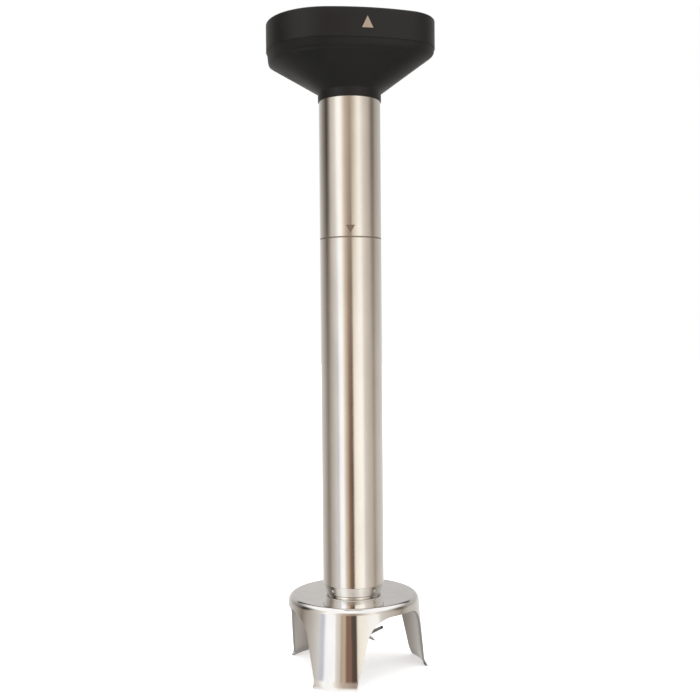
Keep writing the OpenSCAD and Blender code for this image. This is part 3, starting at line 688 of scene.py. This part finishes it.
high_panels = [
    (-180, (186, 183, 180)), (-150, (186, 183, 179)), (-119, (129, 123, 119)), (-98, (42, 36, 32)),
    (-88, (110, 101, 94)), (-78, (186, 178, 168)), (-60, (216, 210, 202)), (-51, (252, 252, 248)),
    (-36, (253, 251, 245)), (-29, (226, 217, 205)), (-19, (190, 173, 157)), (0, (158, 143, 128)),
    (12, (190, 176, 161)), (25, (232, 224, 214)), (34, (248, 241, 232)), (44, (222, 214, 205)),
    (58, (196, 187, 177)), (73, (176, 166, 157)), (84, (126, 116, 107)), (94, (104, 95, 87)),
    (108, (153, 146, 138)), (133, (178, 173, 167)), (180, (182, 180, 178)),
]


# Dark edge of the studio behind the object: (elevation in degrees, share of it).
back_edge = [(27, 0), (32, 1), (38, 1), (45, 0)]
back_edge_colour = (0.03, 0.028, 0.026)
ground_colour = (0.28, 0.27, 0.26)
top_colour = (1.0, 0.99, 0.97)
studio_strength = 1.62
backdrop_strength = 1.0


def make_world():
    """Studio panels by azimuth, with a ground, a bright top and a dark back edge by elevation."""
    world = bpy.data.worlds.new("studio")
    scene.world = world
    world.use_nodes = True
    tree = world.node_tree
    tree.nodes.clear()
    new = tree.nodes.new
    link = tree.links.new

    def calculate(operation, a, b):
        node = new("ShaderNodeMath")
        node.operation = operation
        for socket, value in zip(node.inputs, (a, b)):
            if isinstance(value, (int, float)):
                socket.default_value = value
            else:
                link(value, socket)
        return node.outputs["Value"]

    def share_between(source, low, high, interpolation="LINEAR"):
        node = new("ShaderNodeMapRange")
        node.interpolation_type = interpolation
        node.inputs["From Min"].default_value = low
        node.inputs["From Max"].default_value = high
        link(source, node.inputs["Value"])
        return node.outputs["Result"]

    def share_of_elevations(start, end):
        low, high = math.sin(math.radians(start)), math.sin(math.radians(end))
        return share_between(direction.outputs["Z"], low, high, "SMOOTHSTEP")

    def mixed(share, a, b):
        node = new("ShaderNodeMix")
        node.data_type = "RGBA"
        link(share, node.inputs["Factor"])
        for socket, value in ((node.inputs["A"], a), (node.inputs["B"], b)):
            if isinstance(value, tuple):
                socket.default_value = (*value, 1)
            else:
                link(value, socket)
        return node.outputs["Result"]

    def colour_ramp(source, stops):
        """Ramp from (position, colour) pairs."""
        ramp = new("ShaderNodeValToRGB")
        elements = ramp.color_ramp.elements
        while len(elements) < len(stops):
            elements.new(0.5)
        for element, (position, colour) in zip(elements, stops):
            element.position = position
        for element, (position, colour) in zip(elements, stops):
            element.color = (*colour, 1)
        link(source, ramp.inputs["Fac"])
        return ramp.outputs["Color"]

    def panel_ramp(panels):
        stops = [((degrees + 180) / 360, linear(colour)) for degrees, colour in panels]
        return colour_ramp(round_share, stops)

    turn = new("ShaderNodeVectorRotate")
    turn.rotation_type = "Z_AXIS"
    turn.inputs["Angle"].default_value = -view_turn
    link(new("ShaderNodeTexCoord").outputs["Generated"], turn.inputs["Vector"])
    direction = new("ShaderNodeSeparateXYZ")
    link(turn.outputs["Vector"], direction.inputs["Vector"])
    toward_camera = calculate("MULTIPLY", direction.outputs["Y"], -1)
    azimuth = calculate("ARCTAN2", direction.outputs["X"], toward_camera)
    round_share = share_between(azimuth, -math.pi, math.pi)

    colour = mixed(share_of_elevations(-6, 14), panel_ramp(low_panels), panel_ramp(high_panels))
    colour = mixed(share_of_elevations(-18, -40), colour, ground_colour)
    colour = mixed(share_of_elevations(30, 55), colour, top_colour)
    edge = colour_ramp(direction.outputs["Z"], [(math.sin(math.radians(degrees)), (value,) * 3)
                                                for degrees, value in back_edge])
    behind = share_between(direction.outputs["Y"], 0.5, 0.75)
    colour = mixed(calculate("MULTIPLY", behind, edge), colour, back_edge_colour)

    # The camera itself sees a plain white backdrop.
    seen = new("ShaderNodeLightPath").outputs["Is Camera Ray"]
    strength = new("ShaderNodeMix")
    strength.data_type = "FLOAT"
    strength.inputs["A"].default_value = studio_strength
    strength.inputs["B"].default_value = backdrop_strength
    link(seen, strength.inputs["Factor"])
    light = new("ShaderNodeBackground")
    link(strength.outputs["Result"], light.inputs["Strength"])
    link(mixed(seen, colour, (1, 1, 1)), light.inputs["Color"])
    out = new("ShaderNodeOutputWorld")
    link(light.outputs["Background"], out.inputs["Surface"])


def add_softbox(name, place, size, power):
    """Rectangular lamp in watts that faces the middle of the arm and is itself not seen."""
    data = bpy.data.lights.new(name, "AREA")
    data.shape = "RECTANGLE"
    data.size, data.size_y = size
    data.energy = power
    lamp = bpy.data.objects.new(name, data)
    scene.collection.objects.link(lamp)
    lamp.location = place
    target = Vector((0, 0, foot_z / 2))
    lamp.rotation_euler = (target - Vector(place)).to_track_quat("-Z", "Y").to_euler()
    lamp.visible_camera = False
    lamp.visible_glossy = False


make_camera()
make_floor()
make_world()
add_softbox("top_light", (0.0, -0.3, 1.6), (1.6, 1.6), 6)
add_softbox("left_light", (-1.3, -1.2, 0.4), (1.0, 1.4), 4)
add_softbox("right_light", (1.4, -1.0, 0.3), (1.0, 1.4), 4)
